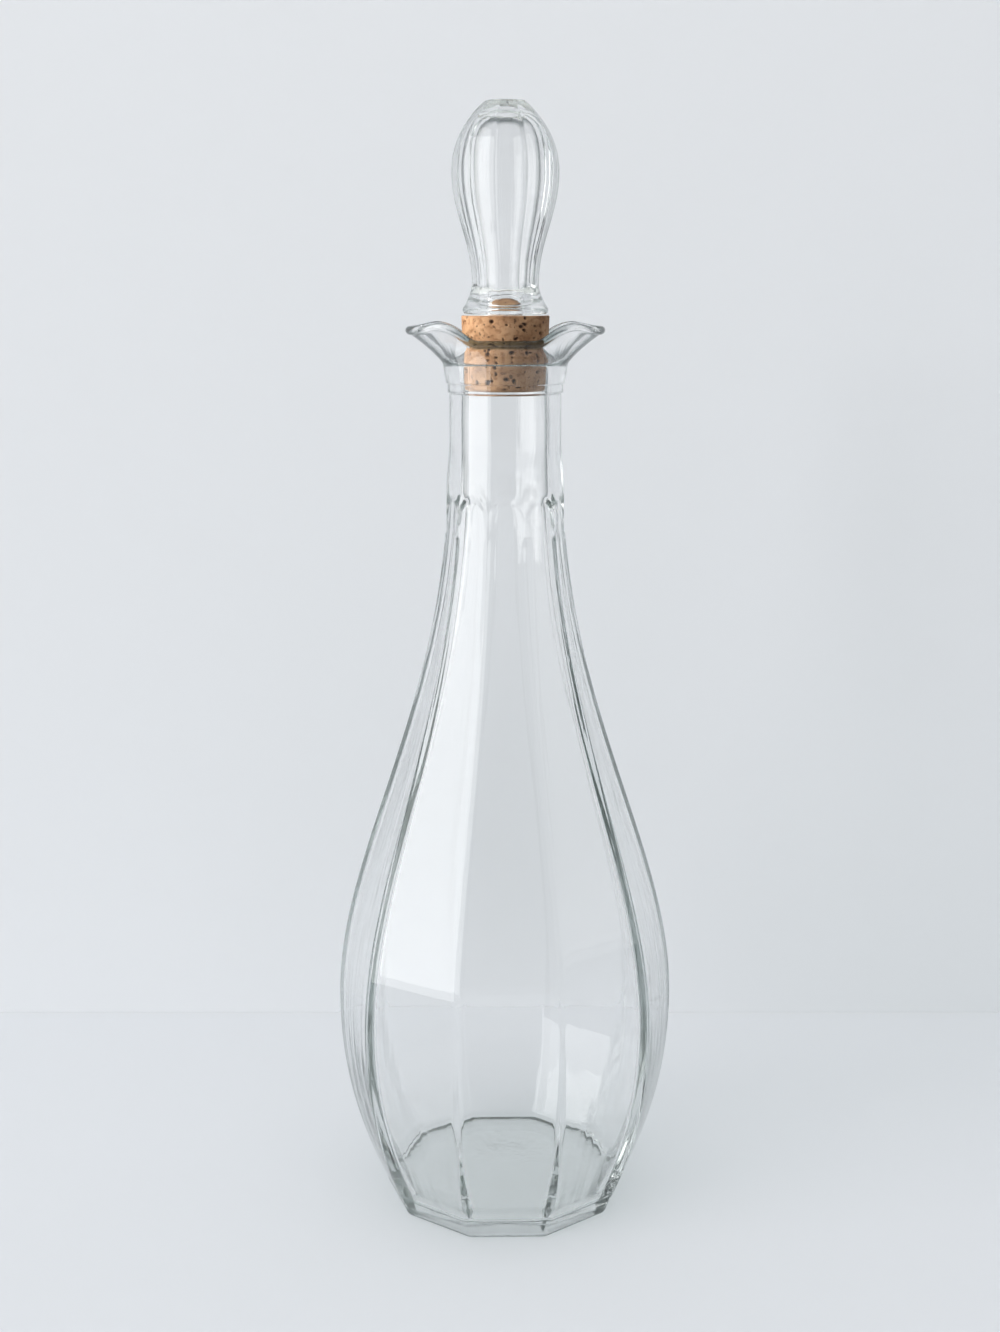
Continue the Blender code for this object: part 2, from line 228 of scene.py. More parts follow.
ridge_share = RIDGE_ROUND / BELLY_RADIUS
foot_ridge = side_radius(FOOT_EDGE)
foot_sharp = foot_ridge * (1 + ridge_share * (1 / math.cos(HALF_FACET) - 1))
bottle = start_ring("glass_bottle", foot_sharp, FOOT_EDGE, foot_ridge * ridge_share, ARC_STEPS, FLAT_STEPS)
for z in steps(FOOT_EDGE, BELLY_HEIGHT, 22) + steps(BELLY_HEIGHT, FLUTE_FOOT - FLUTE_ARCH, 52):
    draw_to(side_radius(z), z)
mesh, ring = ring_now()
print("the side ends", len(ring), "columns wide at z", round(ring[0].co.z, 4))

# %% [markdown]
# ## The arches
# Where the facets meet the round neck, each ends under its own arch, as if a thumb had pressed it in. The ring
# follows the arch: lowest at the ridges and highest in the middle of a facet. A level ring can't do that, so
# these few rings are placed by a rule on their angle.

# %% Draw the arches
SWELL_RADIUS = 0.0178
NECK_RADIUS = 0.01675
SWELL_LENGTH = 0.0150
ROUNDEST = 0.999


def from_facet(angle):
    """Angle from the middle of the nearest facet."""
    step = 2 * HALF_FACET
    return (angle + math.pi / 2 + HALF_FACET) % step - HALF_FACET


def arch_line(angle):
    """Height where a facet ends, at an angle."""
    return FLUTE_FOOT + FLUTE_ARCH * (1 - (from_facet(angle) / HALF_FACET) ** 2)


def slice_reach(angle, ridge, rounding):
    """Radius of a ten-sided slice at an angle. The rounding of its ridges can make it nearly a circle."""
    rounding = min(rounding, ridge * ROUNDEST)
    flat = ridge * math.cos(HALF_FACET) + rounding * (1 - math.cos(HALF_FACET))
    off = abs(from_facet(angle))
    if math.tan(off) * flat <= (flat - rounding) * math.tan(HALF_FACET):
        return flat / math.cos(off)
    centre = (flat - rounding) / math.cos(HALF_FACET)
    off = HALF_FACET - off
    return centre * math.cos(off) + math.sqrt(max(rounding**2 - (centre * math.sin(off)) ** 2, 0))


def facet_reach(angle, ridge):
    """The same for the outside, where the rounding shrinks with the radius."""
    return slice_reach(angle, ridge, ridge * ridge_share)


def swell(z):
    """Radius of the swelling where the arches end, up into the neck."""
    start = FLUTE_FOOT + FLUTE_ARCH + FLUTE_LEDGE
    return blend(SWELL_RADIUS, NECK_RADIUS, ease((z - start) / SWELL_LENGTH))


start_z = FLUTE_FOOT - FLUTE_ARCH
for share in steps(0, 1, 7):
    def up_to_arch(angle, share=share):
        z = blend(start_z, arch_line(angle), share)
        return min(facet_reach(angle, side_radius(z)), SWELL_RADIUS), z
    draw_by(up_to_arch)
for share in steps(0, 1, 5):
    def ledge(angle, share=share):
        z = arch_line(angle) + FLUTE_LEDGE * share
        low = min(facet_reach(angle, side_radius(arch_line(angle))), SWELL_RADIUS)
        return blend(low, SWELL_RADIUS, ease(share)), z
    draw_by(ledge)
swell_top = FLUTE_FOOT + FLUTE_ARCH + FLUTE_LEDGE + SWELL_LENGTH
for share in steps(0, 1, 10):
    def up_the_swell(angle, share=share):
        z = blend(arch_line(angle) + FLUTE_LEDGE, swell_top, share)
        return swell(z), z
    draw_by(up_the_swell)
print("the arches end at z", round(swell_top, 4))

# %% [markdown]
# ## Neck, collar and lip
# Above the swelling the neck is round. A shallow bead and a cone make the collar, and from its crest the lip
# flares out into two pouring wings. The rim is a soft round bead all the way. Wings are pinched out of the
# hot rim by hand, so here too the ring is placed by a rule: how far its angle turns towards a wing.

# %% Draw the neck and the collar
BAND_BASE = 0.2570
BAND_HEIGHT = 0.0028
BAND_STEP = 0.0005
COLLAR_STEP = 0.0005
COLLAR_HEIGHT = 0.0058
COLLAR_RADIUS = 0.0186
COLLAR_BOW = 0.0019
COLLAR_BASE = BAND_BASE + BAND_HEIGHT
SEAT_HEIGHT = COLLAR_BASE + COLLAR_HEIGHT
SOFT = 0.0002
band_radius = NECK_RADIUS + BAND_STEP
collar_low = band_radius + COLLAR_STEP


def soft_step(start, stop, z):
    """A small rounded step outwards at a height."""
    for share in steps(0, 1, 6):
        draw_to(blend(start, stop, ease(share)), z + SOFT * (2 * share - 1))


for z in steps(swell_top, BAND_BASE - 3 * SOFT, 6) + [BAND_BASE - 2 * SOFT, BAND_BASE - SOFT]:
    draw_to(NECK_RADIUS, z)
soft_step(NECK_RADIUS, band_radius, BAND_BASE)
band_low, band_high = BAND_BASE + 3 * SOFT, COLLAR_BASE - 3 * SOFT
for z in [band_low - SOFT] + steps(band_low, band_high, 3) + [band_high + SOFT, band_high + 2 * SOFT]:
    draw_to(band_radius, z)
soft_step(band_radius, collar_low, COLLAR_BASE)


def crest(wing):
    """Height of the collar's crest, which bows up in front and behind."""
    return SEAT_HEIGHT + COLLAR_BOW * (1 - wing**2)


def wing_share(angle):
    """How far an angle turns towards a wing: 0 in front, 1 at a wing."""
    return abs(math.cos(angle))


for share in steps(0, 1, 8):
    def cone(angle, share=share):
        top = crest(wing_share(angle)) - SOFT
        return blend(collar_low, COLLAR_RADIUS, share), blend(COLLAR_BASE + SOFT, top, share)
    draw_by(cone)
print("the collar's crest is at z", round(crest(0), 4), "in front and", round(crest(1), 4), "at the wings")

# %% Draw the lip and its rim
LIP_RADIUS = 0.0162
LIP_RISE = 0.0057
WING_REACH = 0.0283
WING_RISE = 0.0110
WING_TAPER = 4
RIM_ROUND = 0.00115
WING_ROUND = 0.0013
TIP_DROOP = 0.0014
WING_START, WING_FULL = 0.50, 0.90
TIP_START = 0.86
LIP_LEAN = math.radians(10)
WING_LEAN = math.radians(56)
OUTER_BEND = (0.35, 0.49)
INNER_BEND = (0.42, 0.56)
NECKING = 0.80
LEDGE_RADIUS = 0.0158
SEAT_RADIUS = 0.0128
SEAT_LENGTH = 0.0085


def rim_point(wing, turn, size=1.0):
    """A point of the rim's bead, or inside it. Turn 0 is its outer side, half a turn later its inner side."""
    narrow = wing**WING_TAPER
    radius = blend(LIP_RADIUS, WING_REACH, narrow)
    rise = blend(LIP_RISE, WING_RISE, ease((wing - WING_START) / (WING_FULL - WING_START)))
    z = SEAT_HEIGHT + rise - TIP_DROOP * ease((wing - TIP_START) / (1 - TIP_START))
    lean = blend(LIP_LEAN, WING_LEAN, narrow)
    bead = blend(RIM_ROUND, WING_ROUND, narrow)
    out, up = size * bead * math.cos(turn), size * bead * math.sin(turn)
    return radius + out * math.cos(lean) + up * math.sin(lean), z + up * math.cos(lean) - out * math.sin(lean)


def flare(start, bend, end, share):
    """A point of a wall that flares from start to end. bend is its handle, as shares of the way."""
    handle = [blend(start[i], end[i], bend[i]) for i in (0, 1)]
    u = 1 - share
    return [u * u * start[i] + 2 * u * share * handle[i] + share * share * end[i] for i in (0, 1)]


for share in steps(0, 1, 20):
    def outer_flare(angle, share=share):
        wing = wing_share(angle)
        return flare((COLLAR_RADIUS, crest(wing)), OUTER_BEND, rim_point(wing, -NECKING), share)
    draw_by(outer_flare)
for turn in steps(-NECKING, math.pi + NECKING, 20):
    def bead(angle, turn=turn):
        return rim_point(wing_share(angle), turn)
    draw_by(bead)
for share in steps(1, 0, 20):
    def inner_flare(angle, share=share):
        wing = wing_share(angle)
        start = (LEDGE_RADIUS, SEAT_HEIGHT + SOFT)
        return flare(start, INNER_BEND, rim_point(wing, math.pi + NECKING), share)
    draw_by(inner_flare)
draw_to(LEDGE_RADIUS - SOFT, SEAT_HEIGHT)
for share in steps(0, 1, 3):
    draw_to(blend(LEDGE_RADIUS - SOFT, SEAT_RADIUS + 2 * SOFT, share), SEAT_HEIGHT)
for turn in steps(0, math.pi / 2, 4):
    draw_to(SEAT_RADIUS + 2 * SOFT * (1 - math.sin(turn)), SEAT_HEIGHT - 2 * SOFT * (1 - math.cos(turn)))
print("the wings reach", [round(v, 4) for v in rim_point(1, 0)])

# %% [markdown]
# ## The hollow
# Inside, the glass follows the outside a wall's thickness away, but its ridges are softer, because only the
# outside touches the mould. The ring that comes down the bore is round, so the ridges are let in slowly on
# the way to the belly and rounded off again at the floor.

# %% Draw the bore and the hollow
BORE_RADIUS = 0.0131
INNER_RIDGE_ROUND = 0.0040
FLOOR_THICKNESS = 0.0053
FLOOR_RADIUS = 0.0276
FLOOR_ROUND = 0.0026
FLOOR_CROWN = 0.0008
LET_IN = 2.2
inner_foot, inner_belly = FOOT_RADIUS - HEEL_WALL, BELLY_RADIUS - WALL


def hollow_rounding(ridge):
    """Rounding of the hollow's ridges: all round in the bore, fully let in before the belly."""
    share = (ridge - BORE_RADIUS) / (inner_belly - BORE_RADIUS)
    return blend(BORE_RADIUS, INNER_RIDGE_ROUND, ease(min(1, LET_IN * share)))


draw_to(SEAT_RADIUS, SEAT_HEIGHT - SEAT_LENGTH)
for share in steps(0, 1, 8):
    draw_to(blend(SEAT_RADIUS, BORE_RADIUS, ease(share)), SEAT_HEIGHT - SEAT_LENGTH * (1 + share))
floor_edge = FLOOR_THICKNESS + FLOOR_ROUND
for z in steps(SEAT_HEIGHT - 2 * SEAT_LENGTH, THROAT_HEIGHT, 4) + \
        steps(THROAT_HEIGHT, BELLY_HEIGHT, 56) + steps(BELLY_HEIGHT, floor_edge, 22):
    ridge = side_radius(z, inner_foot, inner_belly, BORE_RADIUS)
    def slice_inside(angle, z=z, ridge=ridge):
        return slice_reach(angle, ridge, hollow_rounding(ridge)), z
    draw_by(slice_inside)
print("the hollow is", round(2 * inner_belly, 4), "wide at the belly")

# %% Draw the floor of the hollow
INNERMOST = 0.04
corner_ridge = side_radius(floor_edge, inner_foot, inner_belly, BORE_RADIUS)
for turn in steps(0, math.pi / 2, 10):
    ridge = blend(FLOOR_RADIUS, corner_ridge, math.cos(turn))
    z = floor_edge - FLOOR_ROUND * math.sin(turn)
    def floor_corner(angle, z=z, ridge=ridge):
        return slice_reach(angle, ridge, INNER_RIDGE_ROUND), z
    draw_by(floor_corner)
for share in steps(1, INNERMOST, 10):
    z = FLOOR_THICKNESS + FLOOR_CROWN * (1 - share**2)
    def floor_slice(angle, z=z, share=share):
        return share * slice_reach(angle, FLOOR_RADIUS, INNER_RIDGE_ROUND), z
    draw_by(floor_slice)
close_ring(FLOOR_THICKNESS + FLOOR_CROWN)
print("the hollow's floor is at z", round(FLOOR_THICKNESS + FLOOR_CROWN, 4))

# %% [markdown]
# ## The underside
# The bottle stands on a level ring near the edge of its foot, round a shallow push-up. The open edge left at the
# foot is selected again and drawn round the foot's edge and in to the middle.

# %% Draw the foot's edge and the underside
BEARING_WIDTH = 0.0070
PUSH_UP = 0.0014

bpy.ops.mesh.select_all(action="DESELECT")
bpy.ops.mesh.select_mode(type="VERT")
select_open_edge()
for turn in steps(math.pi / 2, 0, 8):
    draw_to(foot_ridge - FOOT_EDGE * (1 - math.sin(turn)), FOOT_EDGE * (1 - math.cos(turn)))
bearing_outer = foot_ridge - FOOT_EDGE
bearing_inner = bearing_outer * math.cos(HALF_FACET) - BEARING_WIDTH
for share in steps(0, 1, 6):
    def bearing(angle, share=share):
        return blend(facet_reach(angle, bearing_outer), bearing_inner, share), 0.0
    draw_by(bearing)
for share in steps(1, INNERMOST, 12):
    draw_to(bearing_inner * share, PUSH_UP * (1 + math.cos(math.pi * share)) / 2)
close_ring(PUSH_UP)
finish_piece(bottle)

# %% [markdown]
# ## Marks on the glass
# Seen through the thick bead of the front rim, everything looks greyer, and the pinched wings, the bore and the
# foot's edge carry dark outlines. Both are painted into the glass's colour: the outlines are painted shade, and
# the rim's grey is partly the green of its thick glass and partly painted shade of the shaded cork behind it. Two
# values painted on the vertices tell the glass finish where these places are, because they follow the shape
# exactly and cost nothing in the mesh.

# %% Mark where painted shade goes: the rim, the bore and the foot's edge
# Painted shade: these values make the glass's colour dark at the rim, the wings, the bore and the foot's edge.
BEAD_REACH, BEAD_FADE = 1.05, 0.6
FRONT_END, FRONT_FADE = 0.60, 0.24
EDGE_START, EDGE_FADE = 0.4, 0.3
RIM_OUTLINE_SHADE, FOOT_OUTLINE_SHADE = 1.15, 1.2
BORE_START, BORE_FADE = THROAT_HEIGHT - 0.03, 0.02
# The front rim's value brings in a colour that is partly the green of thick glass and partly painted shade.
rim_tint_shade_mark = bottle.data.attributes.new("front_rim_tint_and_shade", "FLOAT", "POINT")
outline_shade_mark = bottle.data.attributes.new("painted_outline_shade", "FLOAT", "POINT")
for vert, front, edge in zip(bottle.data.vertices, rim_tint_shade_mark.data, outline_shade_mark.data):
    reach = vert.co.xy.length
    if vert.co.z > SEAT_HEIGHT:
        wing = wing_share(math.atan2(vert.co.y, vert.co.x))
        centre = Vector(rim_point(wing, 0, 0))
        size = (centre - Vector(rim_point(wing, 0))).length
        off_bead = (Vector((reach, vert.co.z)) - centre).length / size
        on_bead = 1 - ease((off_bead - BEAD_REACH) / BEAD_FADE)
        front.value = on_bead * (1 - ease((wing - FRONT_END) / FRONT_FADE))
        edge.value = RIM_OUTLINE_SHADE * max(on_bead, ease((wing - EDGE_START) / EDGE_FADE))
    elif vert.co.z > BORE_START and reach < side_radius(vert.co.z) - WALL / 2:
        edge.value = ease((vert.co.z - BORE_START) / BORE_FADE)
    elif vert.co.z < 2 * FOOT_EDGE and reach > bearing_inner:
        edge.value = FOOT_OUTLINE_SHADE * (1 - ease(vert.co.z / FOOT_EDGE - 1))

print("marked", sum(item.value > 0.5 for item in rim_tint_shade_mark.data), "vertices as rim and",
      sum(item.value > 0.5 for item in outline_shade_mark.data), "as dark edges")
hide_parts("decanter_bottle")
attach(bottle, "bottle")

# %% [markdown]
# ## The finial
# The stopper's knob is a hollow glass bulb with the same ten sides, turned a little against the bottle's. It is
# drawn the same way, from the flat polished table at its top down to the flange that sits on the cork, then
# in at the mouth and up inside, where the hollow is round.

# %% Sizes of the finial and the cork
CLEARANCE = 0.0003
CORK_ABOVE_SEAT = 0.0139
CORK_BELOW_SEAT = 0.0080
CORK_LOW_RADIUS = 0.0119
CORK_TOP_RADIUS = 0.01305
SPIGOT_RADIUS = 0.0050
SPIGOT_HEIGHT = 0.0006
FINIAL_TURN = math.radians(5)
FINIAL_BASE = SEAT_HEIGHT + CORK_ABOVE_SEAT + CLEARANCE
FINIAL_HEIGHT = 0.0602
TABLE_RADIUS = 0.0063
BULB_RADIUS = 0.0158
BULB_DROP = 0.0198
CROWN_POWER = 2.15
WAIST_RADIUS = 0.0099
WAIST_HEIGHT = 0.0092
FLANGE_RADIUS = 0.0127
FLANGE_HEIGHT = 0.0026
FLANGE_ROUND = 0.0013
FINIAL_WALL = 0.0055
FINIAL_CAP = 0.0046
DOME_POWER = 3
WAIST_WALL = 0.0037
FINIAL_RIDGE_ROUND = 0.0016


def finial_radius(h):
    """Radius at the ridges, at a height above the finial's base, from the waist up."""
    fullest = FINIAL_HEIGHT - BULB_DROP
    if h >= fullest:
        return BULB_RADIUS - (BULB_RADIUS - TABLE_RADIUS) * ((h - fullest) / BULB_DROP) ** CROWN_POWER
    share = min((fullest - h) / (fullest - WAIST_HEIGHT), 1.0)
    return blend(WAIST_RADIUS, BULB_RADIUS, (1 + math.cos(math.pi * share)) / 2)


print("the finial stands from", round(FINIAL_BASE, 4), "to", round(FINIAL_BASE + FINIAL_HEIGHT, 4))

# %% Draw the outside of the finial
TABLE_EDGE = 0.0005
FINIAL_ARC_STEPS = 6
FINIAL_FLAT_STEPS = 8
ROUNDING_OFF = 0.3
finial_top = FINIAL_BASE + FINIAL_HEIGHT
finial_share = FINIAL_RIDGE_ROUND / BULB_RADIUS
table_sharp = (TABLE_RADIUS - TABLE_EDGE) * (1 + finial_share * (1 / math.cos(HALF_FACET) - 1))
finial = start_ring("glass_finial", table_sharp, finial_top,
                    (TABLE_RADIUS - TABLE_EDGE) * finial_share, FINIAL_ARC_STEPS, FINIAL_FLAT_STEPS)
for turn in steps(0, math.pi / 3, 4):
    draw_to(TABLE_RADIUS - TABLE_EDGE * (1 - math.sin(turn)), finial_top - TABLE_EDGE * (1 - math.cos(turn)))
fullest = FINIAL_HEIGHT - BULB_DROP
for h in steps(FINIAL_HEIGHT - TABLE_EDGE, fullest, 22) + steps(fullest, WAIST_HEIGHT, 30):
    draw_to(finial_radius(h), FINIAL_BASE + h)
for share in steps(1, 0, 8):
    h = blend(FLANGE_HEIGHT, WAIST_HEIGHT, share)
    draw_to(blend(FLANGE_RADIUS - FLANGE_ROUND / 2, WAIST_RADIUS, math.sin(share * math.pi / 2)), FINIAL_BASE + h)
    bpy.ops.transform.tosphere(value=ROUNDING_OFF)
bpy.ops.transform.tosphere(value=1.0)
for turn in steps(math.pi / 3, -math.pi / 2, 12):
    draw_to(FLANGE_RADIUS - FLANGE_ROUND * (1 - math.cos(turn)), FINIAL_BASE + FLANGE_ROUND * (1 + math.sin(turn)))
print("the flange is", 2 * FLANGE_RADIUS, "wide")

# %% Draw the inside of the finial
MOUTH_ROUND = 0.0006
mouth = SPIGOT_RADIUS + CLEARANCE
narrow, widest = WAIST_RADIUS - WAIST_WALL, BULB_RADIUS - FINIAL_WALL
dome_top = FINIAL_HEIGHT - FINIAL_CAP
draw_to(mouth + MOUTH_ROUND, FINIAL_BASE)
for turn in steps(0, math.pi / 2, 4):
    draw_to(mouth + MOUTH_ROUND * (1 - math.sin(turn)), FINIAL_BASE + MOUTH_ROUND * (1 - math.cos(turn)))
draw_to(mouth, FINIAL_BASE + SPIGOT_HEIGHT)
for h in steps(SPIGOT_HEIGHT, WAIST_HEIGHT, 6):
    draw_to(blend(mouth, narrow, ease((h - SPIGOT_HEIGHT) / (WAIST_HEIGHT - SPIGOT_HEIGHT))), FINIAL_BASE + h)
for h in steps(WAIST_HEIGHT, fullest, 26):
    share = (fullest - h) / (fullest - WAIST_HEIGHT)
    draw_to(blend(narrow, widest, (1 + math.cos(math.pi * share)) / 2), FINIAL_BASE + h)
for turn in steps(0, math.pi / 2, 18)[:-1]:
    share = math.cos(turn)
    rise = (1 - share**DOME_POWER) ** (1 / DOME_POWER)
    draw_to(widest * share, FINIAL_BASE + fullest + (dome_top - fullest) * rise)
close_ring(FINIAL_BASE + dome_top)
print("the finial's hollow ends at z", round(FINIAL_BASE + dome_top, 4))

# %% Close the table and turn the finial
select_open_edge()
bpy.ops.mesh.edge_face_add()
finish_piece(finial)
finial.select_set(True)
bpy.context.view_layer.objects.active = finial
finial.rotation_euler.z = FINIAL_TURN
bpy.ops.object.transform_apply(location=True, rotation=True, scale=True)
# Painted shade: the finial's hollow gets the same dark outline painted into its glass colour.
HOLLOW_OUTLINE_SHADE = 1.25
HOLLOW_GAP = 0.002
HOLLOW_START = 0.6 * WAIST_HEIGHT
outline_shade_mark = finial.data.attributes.new("painted_outline_shade", "FLOAT", "POINT")
for vert, edge in zip(finial.data.vertices, outline_shade_mark.data):
    h = vert.co.z - FINIAL_BASE
    inside = vert.co.xy.length < finial_radius(h) - HOLLOW_GAP
    edge.value = HOLLOW_OUTLINE_SHADE * (inside and HOLLOW_START < h < dome_top + SOFT / 2)
print("marked", sum(item.value > 1 for item in outline_shade_mark.data), "vertices of the finial's hollow")
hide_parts("stopper_finial")
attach(finial, "stopper")

# %% [markdown]
# ## The cork
# Natural cork is cut from bark and turned to a taper, with a short spigot on top that reaches into the glass knob.
# Turned work is round, so half an outline is drawn and spun round the axis. The grid is close, because the next
# step sinks small pits into it.

# %% Spin the cork
CORK_EDGE = 0.0012
CORK_TURNS = 320
SEAM_GAP = 0.00001


def arc(radius, z, rounding, start, stop, count):
    """Points of a quarter round between two angles."""
    turns = [start] + steps(start, stop, count)
    return [(radius + rounding * math.cos(turn), z + rounding * math.sin(turn)) for turn in turns]


def taper(low, high, count):
    """Points of a straight side, without its first."""
    return [(blend(low[0], high[0], share), blend(low[1], high[1], share)) for share in steps(0, 1, count)]


seat_fit = SEAT_RADIUS - CLEARANCE
top_edge = CORK_EDGE / 3
low_z, high_z = SEAT_HEIGHT - CORK_BELOW_SEAT, SEAT_HEIGHT + CORK_ABOVE_SEAT
low_radius, high_radius = CORK_LOW_RADIUS, CORK_TOP_RADIUS
cork_outline = [(radius, low_z) for radius in (0.002, 0.005, 0.008)]
cork_outline += arc(low_radius - CORK_EDGE, low_z + CORK_EDGE, CORK_EDGE, -math.pi / 2, 0, 6)
cork_outline += taper((low_radius, low_z + CORK_EDGE), (seat_fit, SEAT_HEIGHT), 36)
cork_outline += taper((seat_fit, SEAT_HEIGHT), (high_radius, high_z - top_edge), 64)
cork_outline += arc(high_radius - top_edge, high_z - top_edge, top_edge, 0, math.pi / 2, 5)[1:]
cork_outline += [(radius, high_z) for radius in (0.010, 0.0075, SPIGOT_RADIUS)]
cork_outline += [(SPIGOT_RADIUS, high_z + SPIGOT_HEIGHT * share) for share in (0.33, 0.66, 1)]
cork_outline += [(SPIGOT_RADIUS * share, high_z + SPIGOT_HEIGHT) for share in (0.6, 0.25)]

deselect_all()
bpy.ops.mesh.primitive_circle_add(vertices=3, radius=0.001)
cork = bpy.context.object
cork.name = cork.data.name = "cork_plug"
bpy.ops.object.mode_set(mode="EDIT")
mesh = bmesh.from_edit_mesh(cork.data)
bmesh.ops.delete(mesh, geom=mesh.verts[:], context="VERTS")
points = [mesh.verts.new((radius, 0, z)) for radius, z in cork_outline]
for pair in zip(points, points[1:]):
    mesh.edges.new(pair)
for vert in mesh.verts:
    vert.select_set(True)
mesh.select_flush(True)
bmesh.update_edit_mesh(cork.data)
bpy.ops.mesh.spin(steps=CORK_TURNS, angle=2 * math.pi, center=(0, 0, 0), axis=(0, 0, 1))
bpy.ops.mesh.select_all(action="SELECT")
bpy.ops.mesh.remove_doubles(threshold=SEAM_GAP)
select_open_edge()
bpy.ops.mesh.edge_face_add()
finish_piece(cork)

# %% [markdown]
# ## The cork's pits
# Lenticels open on the cork's skin as small pits with dark bottoms, scattered by nature. Each is an oval dent at a
# place drawn by chance. The dents are kept as weights for a Displace modifier, which sinks them for real, and
# again as a value for the colour.

# %% Sink the pits
PITS = 170
PIT_SEED = 11
PIT_DEPTH = 0.0006
PIT_ACROSS = (0.0002, 0.0009)
PIT_ALONG = (0.0002, 0.0007)
PIT_FLOOR = 1.5
SHALLOWEST = 0.02
chance = random.Random(PIT_SEED)
place = np.empty(len(cork.data.vertices) * 3)
cork.data.vertices.foreach_get("co", place)
place = place.reshape(-1, 3)
turned, reach = np.arctan2(place[:, 1], place[:, 0]), np.hypot(place[:, 0], place[:, 1])
side = reach > CORK_LOW_RADIUS - CORK_EDGE
depth = np.zeros(len(place))
for _ in range(PITS):
    across, along = chance.uniform(*PIT_ACROSS), chance.uniform(*PIT_ALONG)
    angle, height = chance.uniform(-math.pi, math.pi), chance.uniform(low_z, high_z - PIT_DEPTH)
    around = (turned - angle + math.pi) % (2 * math.pi) - math.pi
    off = (around * reach / across) ** 2 + ((place[:, 2] - height) / along) ** 2
    depth = np.maximum(depth, np.clip(PIT_FLOOR * (1 - off), 0, 1) * side)
pit = cork.data.attributes.new("pit", "FLOAT", "POINT")
pit.data.foreach_set("value", depth)
group = cork.vertex_groups.new(name="pits")
for index in np.flatnonzero(depth > SHALLOWEST):
    group.add([int(index)], float(depth[index]), "REPLACE")
bpy.context.view_layer.objects.active = cork
cork.select_set(True)
bpy.ops.object.modifier_add(type="DISPLACE")
cork.modifiers[-1].strength = -PIT_DEPTH
cork.modifiers[-1].mid_level = 0
cork.modifiers[-1].vertex_group = "pits"
bpy.ops.object.modifier_apply(modifier=cork.modifiers[-1].name)
deselect_all()
print("pits reach", int((depth > SHALLOWEST).sum()), "of", len(place), "vertices")
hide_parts("stopper_cork")
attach(cork, "stopper")

# %% [markdown]
# ## Glass
# Moulded glass is clear and colourless where it is thin and faintly green where light travels far through it,
# as along the rim and the foot. So the tint is a volume absorption. The glass has two more effects, and both
# pieces share each as a node group. Its skin is a little wavy: broad waves, long streaks drawn out along the
# side, and fine ripples under the foot. And painted shade darkens its colour where it turns away from the eye:
# a dark outline that stands for the dark parts of a room that a thick wall gathers.

# %% Helpers for the materials


def new_group(name, inputs, outputs):
    """A shader node group with named sockets."""
    group = bpy.data.node_groups.new(name, "ShaderNodeTree")
    for label, kind, value in inputs:
        socket = group.interface.new_socket(name=label, in_out="INPUT", socket_type=kind)
        if value is not None:
            socket.default_value = value
    for label, kind in outputs:
        group.interface.new_socket(name=label, in_out="OUTPUT", socket_type=kind)
    return group, group.nodes.new("NodeGroupInput"), group.nodes.new("NodeGroupOutput")


def group_node(tree, group, **values):
    """A node that uses a group, with plain values on some of its inputs."""
    made = tree.nodes.new("ShaderNodeGroup")
    made.node_tree = group
    for name, value in values.items():
        made.inputs[name].default_value = value
    return made


def join(tree, *links):
    """Link outputs to inputs."""
    for source, target in links:
        tree.links.new(source, target)


def feed(tree, value, socket):
    """Link an output to a socket, or set the socket to a plain number."""
    if isinstance(value, (int, float)):
        socket.default_value = value
    else:
        tree.links.new(value, socket)


def math_node(tree, operation, first, second=0.0):
    """A math node on outputs or plain numbers."""
    made = tree.nodes.new("ShaderNodeMath")
    made.operation = operation
    feed(tree, first, made.inputs[0])
    feed(tree, second, made.inputs[1])
    return made.outputs["Value"]


def ramp(tree, source, stops):
    """A colour ramp fed by one output. Stops are (place, colour)."""
    made = tree.nodes.new("ShaderNodeValToRGB")
    while len(made.color_ramp.elements) < len(stops):
        made.color_ramp.elements.new(1.0)
    for element, (place, colour) in zip(made.color_ramp.elements, stops):
        element.position = place
        element.color = (*colour, 1)
    join(tree, (source, made.inputs["Fac"]))
    return made.outputs["Color"]


def mix(tree, kind, factor, first, second):
    """Two colours mixed by an output or a plain number."""
    made = tree.nodes.new("ShaderNodeMix")
    made.data_type = "RGBA"
    made.blend_type = kind
    feed(tree, factor, made.inputs["Factor"])
    join(tree, (first, made.inputs["A"]), (second, made.inputs["B"]))
    return made.outputs["Result"]


def noise_bump(tree, scale, place, strength, before=None):
    """Soft noise as a bump, on top of the bump before it."""
    noise, bump = tree.nodes.new("ShaderNodeTexNoise"), tree.nodes.new("ShaderNodeBump")
    noise.inputs["Detail"].default_value = 1.0
    bump.inputs["Distance"].default_value = WAVE_HEIGHT
    feed(tree, scale, noise.inputs["Scale"])
    feed(tree, strength, bump.inputs["Strength"])
    join(tree, (place, noise.inputs["Vector"]), (noise.outputs["Fac"], bump.inputs["Height"]))
    if before:
        join(tree, (before, bump.inputs["Normal"]))
    return bump.outputs["Normal"]


print("node helpers:", [item.__name__ for item in (new_group, group_node, math_node, ramp, mix, noise_bump)])

